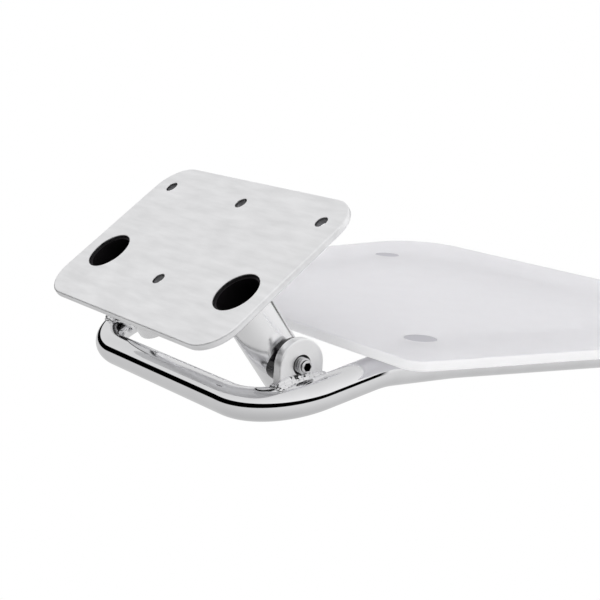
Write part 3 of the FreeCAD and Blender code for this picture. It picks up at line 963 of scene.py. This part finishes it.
@dataclass
class Studio:
    """White studio: a bright dome with one dark band at the seat's level, and a floor.

    Attributes:
        floor_level: Height of the floor, in metres.
        floor_half: Half the floor's width, in metres.
        band_low: Sine of the band's lower edge over the seat's plane, then its change
            to the seat's right and its change forward.
        band_high: The same for its upper edge.
        band_soft: Softness of both edges, as a sine.
        seat_normal: Upward normal of the seat at rest.
        band_end: Where the band fades out towards the far side, as a sine.
        dome: Brightness from straight below the seat, at 0, to straight above, at 1.
        left_share: Share of the dome's brightness left on its far left.
        far_side: Direction in the seat's plane away from the band.
        lamp_power: Power of the soft lamp, in watts.
        lamp_size: Its width, in metres.
        lamp_distance: How far it stands off the seat, in metres.
        lamp_shift: Where its stand is moved from there.
        lamp_target: The point that it shines at.
    """

    floor_level: float = -0.75
    floor_half: float = 6.0
    band_low: tuple[float, float, float] = (-0.110, -0.049, 0.125)
    band_high: tuple[float, float, float] = (0.182, 0.001, -0.038)
    band_soft: float = 0.012
    band_end: tuple[float, float] = (0.72, 0.82)
    dome: tuple[tuple[float, float], ...] = ((0.0, 0.66), (0.25, 0.80), (0.45, 0.86), (0.6, 1.05),
                                             (0.75, 1.0), (1.0, 0.9))
    left_share: float = 0.8
    seat_normal: Vector = field(default_factory=lambda: Vector(
        (0, -math.sin(REST_ANGLE), math.cos(REST_ANGLE))))
    far_side: Vector = field(default_factory=lambda: in_seat_plane(0.45, 0.9))
    lamp_power: float = 6.0
    lamp_size: float = 1.6
    lamp_distance: float = 1.8
    lamp_shift: Vector = field(default_factory=lambda: Vector((0.4, -0.3, 0.2)))
    lamp_target: Vector = field(default_factory=lambda: Vector((0, 0.2, 0.1)))

    def build_world(self) -> None:
        """White behind the object, and the banded dome in everything that it reflects."""
        world = bpy.data.worlds.new("studio_dome")
        bpy.context.scene.world = world
        world.use_nodes = True
        nodes, links = world.node_tree.nodes, world.node_tree.links
        nodes.clear()
        place = nodes.new("ShaderNodeTexCoord")

        def over(direction: Vector, low: float, high: float) -> bpy.types.NodeSocket:
            """How far a ray's direction rises along another, from 0 at low to 1 at high."""
            height = nodes.new("ShaderNodeVectorMath")
            height.operation = "DOT_PRODUCT"
            height.inputs[1].default_value = direction
            links.new(place.outputs["Generated"], height.inputs[0])
            share = nodes.new("ShaderNodeMapRange")
            share.interpolation_type = "SMOOTHSTEP"
            share.inputs["From Min"].default_value = low
            share.inputs["From Max"].default_value = high
            links.new(height.outputs["Value"], share.inputs["Value"])
            return share.outputs["Result"]

        ramp = nodes.new("ShaderNodeValToRGB")
        ramp.color_ramp.elements.remove(ramp.color_ramp.elements[0])
        for index, (at, value) in enumerate(self.dome):
            stop = ramp.color_ramp.elements[0] if index == 0 else ramp.color_ramp.elements.new(at)
            stop.position = at
            stop.color = (value, value, value, 1.0)
        plain_height = over(self.seat_normal, -1.0, 1.0)
        plain_height.node.interpolation_type = "LINEAR"
        links.new(plain_height, ramp.inputs["Fac"])
        edges = []
        for (level, *tilt), sign in ((self.band_low, 1), (self.band_high, -1)):
            direction = (self.seat_normal - in_seat_plane(*tilt)) * sign
            edges.append(over(direction, level * sign - self.band_soft,
                              level * sign + self.band_soft))
        edges.append(over(-self.far_side, -self.band_end[1], -self.band_end[0]))

        def times(one: bpy.types.NodeSocket, other: bpy.types.NodeSocket) -> bpy.types.NodeSocket:
            """Product of two values."""
            product = nodes.new("ShaderNodeMath")
            product.operation = "MULTIPLY"
            links.new(one, product.inputs[0])
            links.new(other, product.inputs[1])
            return product.outputs["Value"]

        tone = nodes.new("ShaderNodeMix")
        tone.data_type = "RGBA"
        tone.inputs["B"].default_value = (0.0, 0.0, 0.0, 1.0)
        links.new(times(times(edges[0], edges[1]), edges[2]), tone.inputs["Factor"])
        sideways = over(Vector((1, 0, 0)), -1.0, 1.0).node
        sideways.interpolation_type = "LINEAR"
        sideways.inputs["To Min"].default_value = self.left_share
        shaded = nodes.new("ShaderNodeVectorMath")
        shaded.operation = "SCALE"
        links.new(ramp.outputs["Color"], shaded.inputs[0])
        links.new(sideways.outputs["Result"], shaded.inputs["Scale"])
        links.new(shaded.outputs["Vector"], tone.inputs["A"])
        banded = nodes.new("ShaderNodeBackground")
        links.new(tone.outputs["Result"], banded.inputs["Color"])
        plain = nodes.new("ShaderNodeBackground")
        plain.inputs["Color"].default_value = (1.0, 1.0, 1.0, 1.0)
        path = nodes.new("ShaderNodeLightPath")
        pick = nodes.new("ShaderNodeMixShader")
        opaque = nodes.new("ShaderNodeMath")
        opaque.operation = "SUBTRACT"
        opaque.inputs[0].default_value = 1.0
        links.new(path.outputs["Is Transmission Ray"], opaque.inputs[1])
        links.new(times(path.outputs["Is Glossy Ray"], opaque.outputs["Value"]),
                  pick.inputs["Fac"])
        links.new(plain.outputs["Background"], pick.inputs[1])
        links.new(banded.outputs["Background"], pick.inputs[2])
        out = nodes.new("ShaderNodeOutputWorld")
        links.new(pick.outputs["Shader"], out.inputs["Surface"])

    def build_floor(self) -> None:
        """Plain pale floor well under the seat."""
        bm = bmesh.new()
        bmesh.ops.create_grid(bm, x_segments=1, y_segments=1, size=self.floor_half,
                              matrix=Matrix.Translation((0, 0, self.floor_level)))
        mesh = bpy.data.meshes.new("floor")
        bm.to_mesh(mesh)
        bm.free()
        floor = bpy.data.objects.new("floor", mesh)
        bpy.context.scene.collection.objects.link(floor)
        pale = bpy.data.materials.new("pale_floor")
        pale.use_nodes = True
        shader = pale.node_tree.nodes["Principled BSDF"]
        shader.inputs["Base Color"].default_value = (0.86, 0.86, 0.86, 1.0)
        shader.inputs["Roughness"].default_value = 0.9
        mesh.materials.append(pale)
        floor.visible_glossy = False

    def build_light(self) -> None:
        """One large soft lamp above the seat's upper side, for gentle shading."""
        lamp = bpy.data.lights.new("soft_box", "AREA")
        lamp.energy = self.lamp_power
        lamp.size = self.lamp_size
        holder = bpy.data.objects.new("soft_box", lamp)
        holder.location = self.seat_normal * self.lamp_distance + self.lamp_shift
        away = holder.location - self.lamp_target
        holder.rotation_euler = away.to_track_quat("Z", "Y").to_euler()
        holder.visible_glossy = False
        bpy.context.scene.collection.objects.link(holder)


@dataclass
class Camera:
    """Camera below and behind the wall plate, rolled so that the seat looks level.

    Attributes:
        place: Camera's place in the row frame, in metres.
        right: Its right-hand direction.
        down: Its downward direction.
        lens: Focal length, in millimetres.
    """

    place: Vector = field(default_factory=lambda: Vector((0.8522, -0.4643, -0.3090)))
    right: Vector = field(default_factory=lambda: Vector((0.600, 0.440, 0.668)))
    down: Vector = field(default_factory=lambda: Vector((0.190, 0.733, -0.653)))
    lens: float = 79.74

    def build(self) -> None:
        """Creates the camera and makes it the scene's own."""
        data = bpy.data.cameras.new("camera")
        data.lens = self.lens
        data.sensor_width = 36.0
        data.clip_start = 0.01
        holder = bpy.data.objects.new("camera", data)
        right = self.right.normalized()
        back = right.cross(-self.down).normalized()
        up = back.cross(right)
        turn = Matrix((right, up, back)).transposed().to_4x4()
        holder.matrix_world = Matrix.Translation(self.place) @ turn
        bpy.context.scene.collection.objects.link(holder)
        bpy.context.scene.camera = holder


def main() -> None:
    """Builds the scene around the frame."""
    logging.basicConfig(level=logging.INFO, format="%(message)s")
    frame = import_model()
    dress_cad_nodes(frame["nodes"])
    WallBracket().build()
    rail = SeatFrame()
    rail.build()
    Hinge().build(rail.rear_bar())
    SeatPanel().build(rail)
    studio = Studio()
    studio.build_world()
    studio.build_floor()
    studio.build_light()
    Camera().build()
    bpy.context.scene.view_settings.view_transform = "Standard"


if __name__ == "__main__":
    main()
